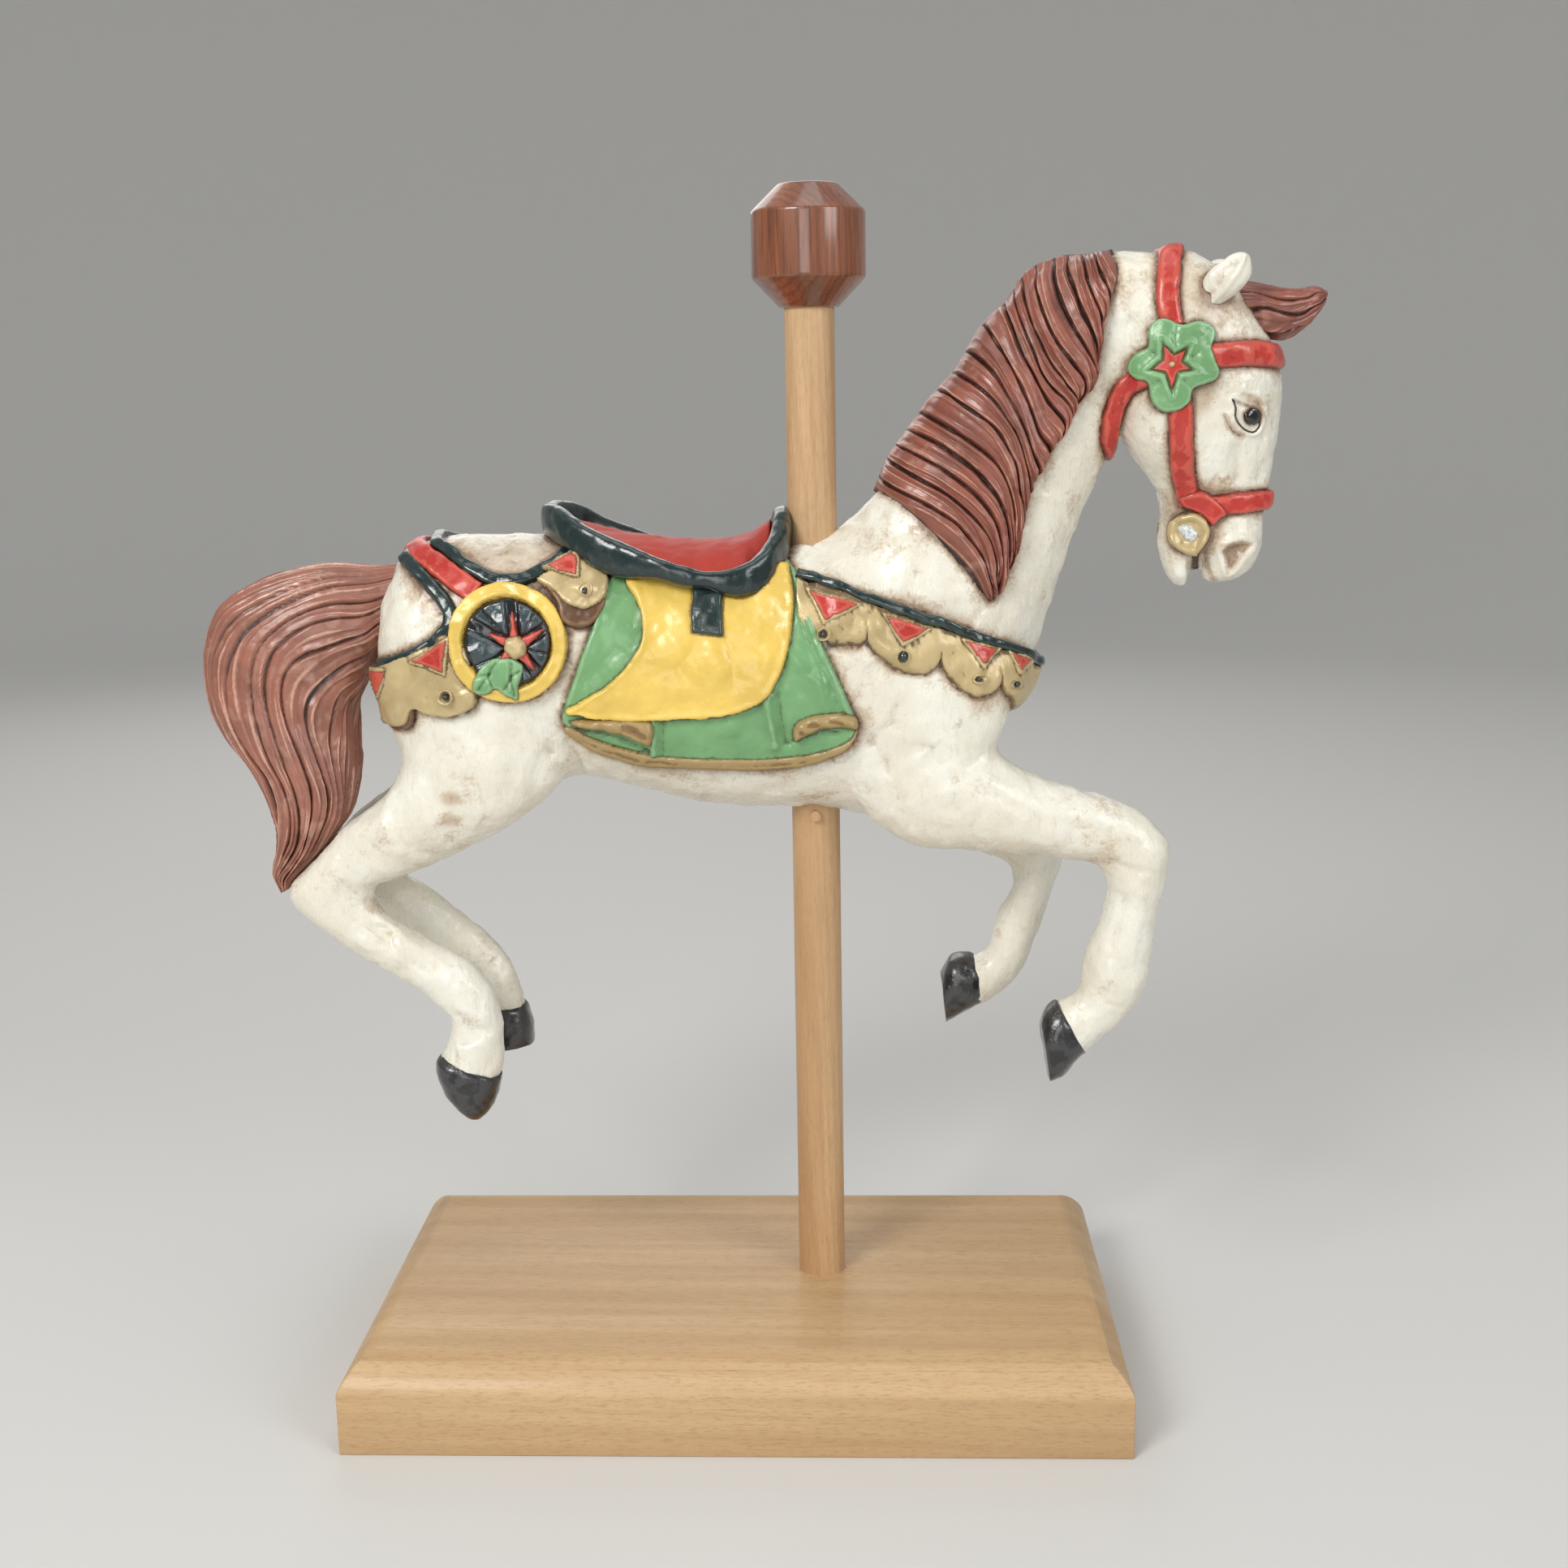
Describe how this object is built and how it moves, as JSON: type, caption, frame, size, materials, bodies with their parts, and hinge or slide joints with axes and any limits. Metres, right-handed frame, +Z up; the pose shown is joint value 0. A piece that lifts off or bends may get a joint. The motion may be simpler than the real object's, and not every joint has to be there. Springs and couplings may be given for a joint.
{
  "type": "carousel horse figurine on a stand",
  "caption": "Cast and painted carousel horse with saddle and harness, on a wooden pole with a turned knob and a rectangular wooden base.",
  "frame": {"origin": "middle of the base's underside, on the surface that it stands on", "axes": "+Z up, +X the way the horse faces, along the base's long side, +Y to the horse's left, its plainer side"},
  "size_m": [0.4371, 0.167, 0.4745],
  "materials": {
    "painted_resin": "hand-painted cream resin with brown antique wash, satin gloss",
    "dowel_wood": "tan birch dowel, thin satin varnish",
    "dark_wood": "dark walnut stain, glossy varnish",
    "light_wood": "light maple board, satin varnish"
  },
  "bodies": {
    "root": {"horse": "painted_resin", "pole": "dowel_wood", "finial": "dark_wood", "base": "light_wood", "pole_peg": "dowel_wood"}
  },
  "joints": []
}
